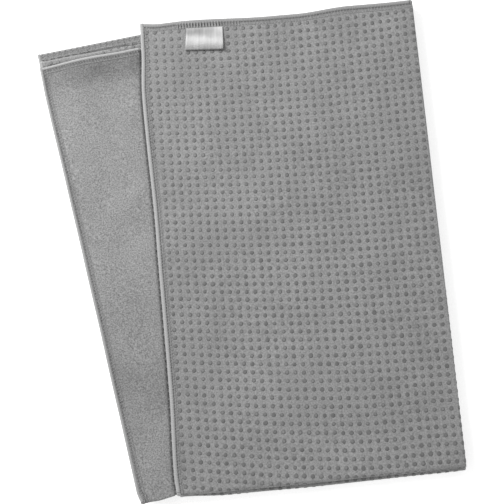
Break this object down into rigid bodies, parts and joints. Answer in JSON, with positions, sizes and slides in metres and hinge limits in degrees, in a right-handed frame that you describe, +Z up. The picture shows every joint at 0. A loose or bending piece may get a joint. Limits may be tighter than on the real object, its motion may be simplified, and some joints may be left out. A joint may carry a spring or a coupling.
{
  "type": "quick dry towel",
  "caption": "Long microfibre travel towel with grip dots and overlocked hems, folded flat lengthwise and crosswise, with a sewn satin label.",
  "frame": {"origin": "centre of the folded stack's box on the surface that it lies on", "axes": "+X towards the lengthwise fold at the right, +Y towards the end hem with the label, +Z up out of the stack"},
  "size_m": [0.3873, 0.4668, 0.0164],
  "materials": {
    "towel_cloth": "grey microfibre suede with short pile",
    "hem_thread": "light grey polyester overlock thread",
    "label_satin": "silver white woven satin tape",
    "label_thread": "grey polyester sewing thread",
    "grip_dot": "matt grey silicone"
  },
  "bodies": {
    "section_4": {"narrow_leaf_4": "towel_cloth", "wide_leaf_4": "towel_cloth", "narrow_side_hem_4": "hem_thread", "wide_side_hem_4": "hem_thread", "side_fold_4": "towel_cloth", "narrow_end_hem_last": "hem_thread", "wide_end_hem_last": "hem_thread", "narrow_lower_bottom_fold": "towel_cloth", "wide_lower_bottom_fold": "towel_cloth"},
    "section_3": {"narrow_leaf_3": "towel_cloth", "wide_leaf_3": "towel_cloth", "narrow_side_hem_3": "hem_thread", "wide_side_hem_3": "hem_thread", "side_fold_3": "towel_cloth", "narrow_top_fold": "towel_cloth", "wide_top_fold": "towel_cloth"},
    "section_2": {"narrow_leaf_2": "towel_cloth", "wide_leaf_2": "towel_cloth", "narrow_side_hem_2": "hem_thread", "wide_side_hem_2": "hem_thread", "side_fold_2": "towel_cloth", "narrow_upper_bottom_fold": "towel_cloth", "wide_upper_bottom_fold": "towel_cloth"},
    "section_1": {"narrow_leaf_1": "towel_cloth", "wide_leaf_1": "towel_cloth", "narrow_side_hem_1": "hem_thread", "wide_side_hem_1": "hem_thread", "side_fold_1": "towel_cloth", "narrow_end_hem_first": "hem_thread", "wide_end_hem_first": "hem_thread", "label_stitching": "label_thread"},
    "label": {"label_front": "label_satin", "label_back": "label_satin"}
  },
  "joints": [
    {"name": "lower_bottom_fold_opens", "type": "hinge", "parent": "section_4", "child": "section_3", "pos_m": [0.03985, -0.22565, 0.0038], "axis": [0.9993, 0.0383, 0], "range_deg": [0, 180], "deforming": ["narrow_lower_bottom_fold", "wide_lower_bottom_fold"]},
    {"name": "top_fold_opens", "type": "hinge", "parent": "section_3", "child": "section_2", "pos_m": [-0.00225, 0.21355, 0.0078], "axis": [-0.9989, -0.0466, 0], "range_deg": [0, 180], "deforming": ["narrow_top_fold", "wide_top_fold"]},
    {"name": "upper_bottom_fold_opens", "type": "hinge", "parent": "section_2", "child": "section_1", "pos_m": [0.03985, -0.22565, 0.0118], "axis": [0.9993, 0.0383, 0], "range_deg": [0, 180], "deforming": ["narrow_upper_bottom_fold", "wide_upper_bottom_fold"]},
    {"name": "label_lifts", "type": "hinge", "parent": "section_1", "child": "label", "pos_m": [-0.0185, 0.2213, 0.01615], "axis": [-0.9976, 0.0698, 0], "range_deg": [0, 150]}
  ],
  "couplings": [
    {"joint": "top_fold_opens", "follows": "lower_bottom_fold_opens", "ratio": 1}
  ]
}
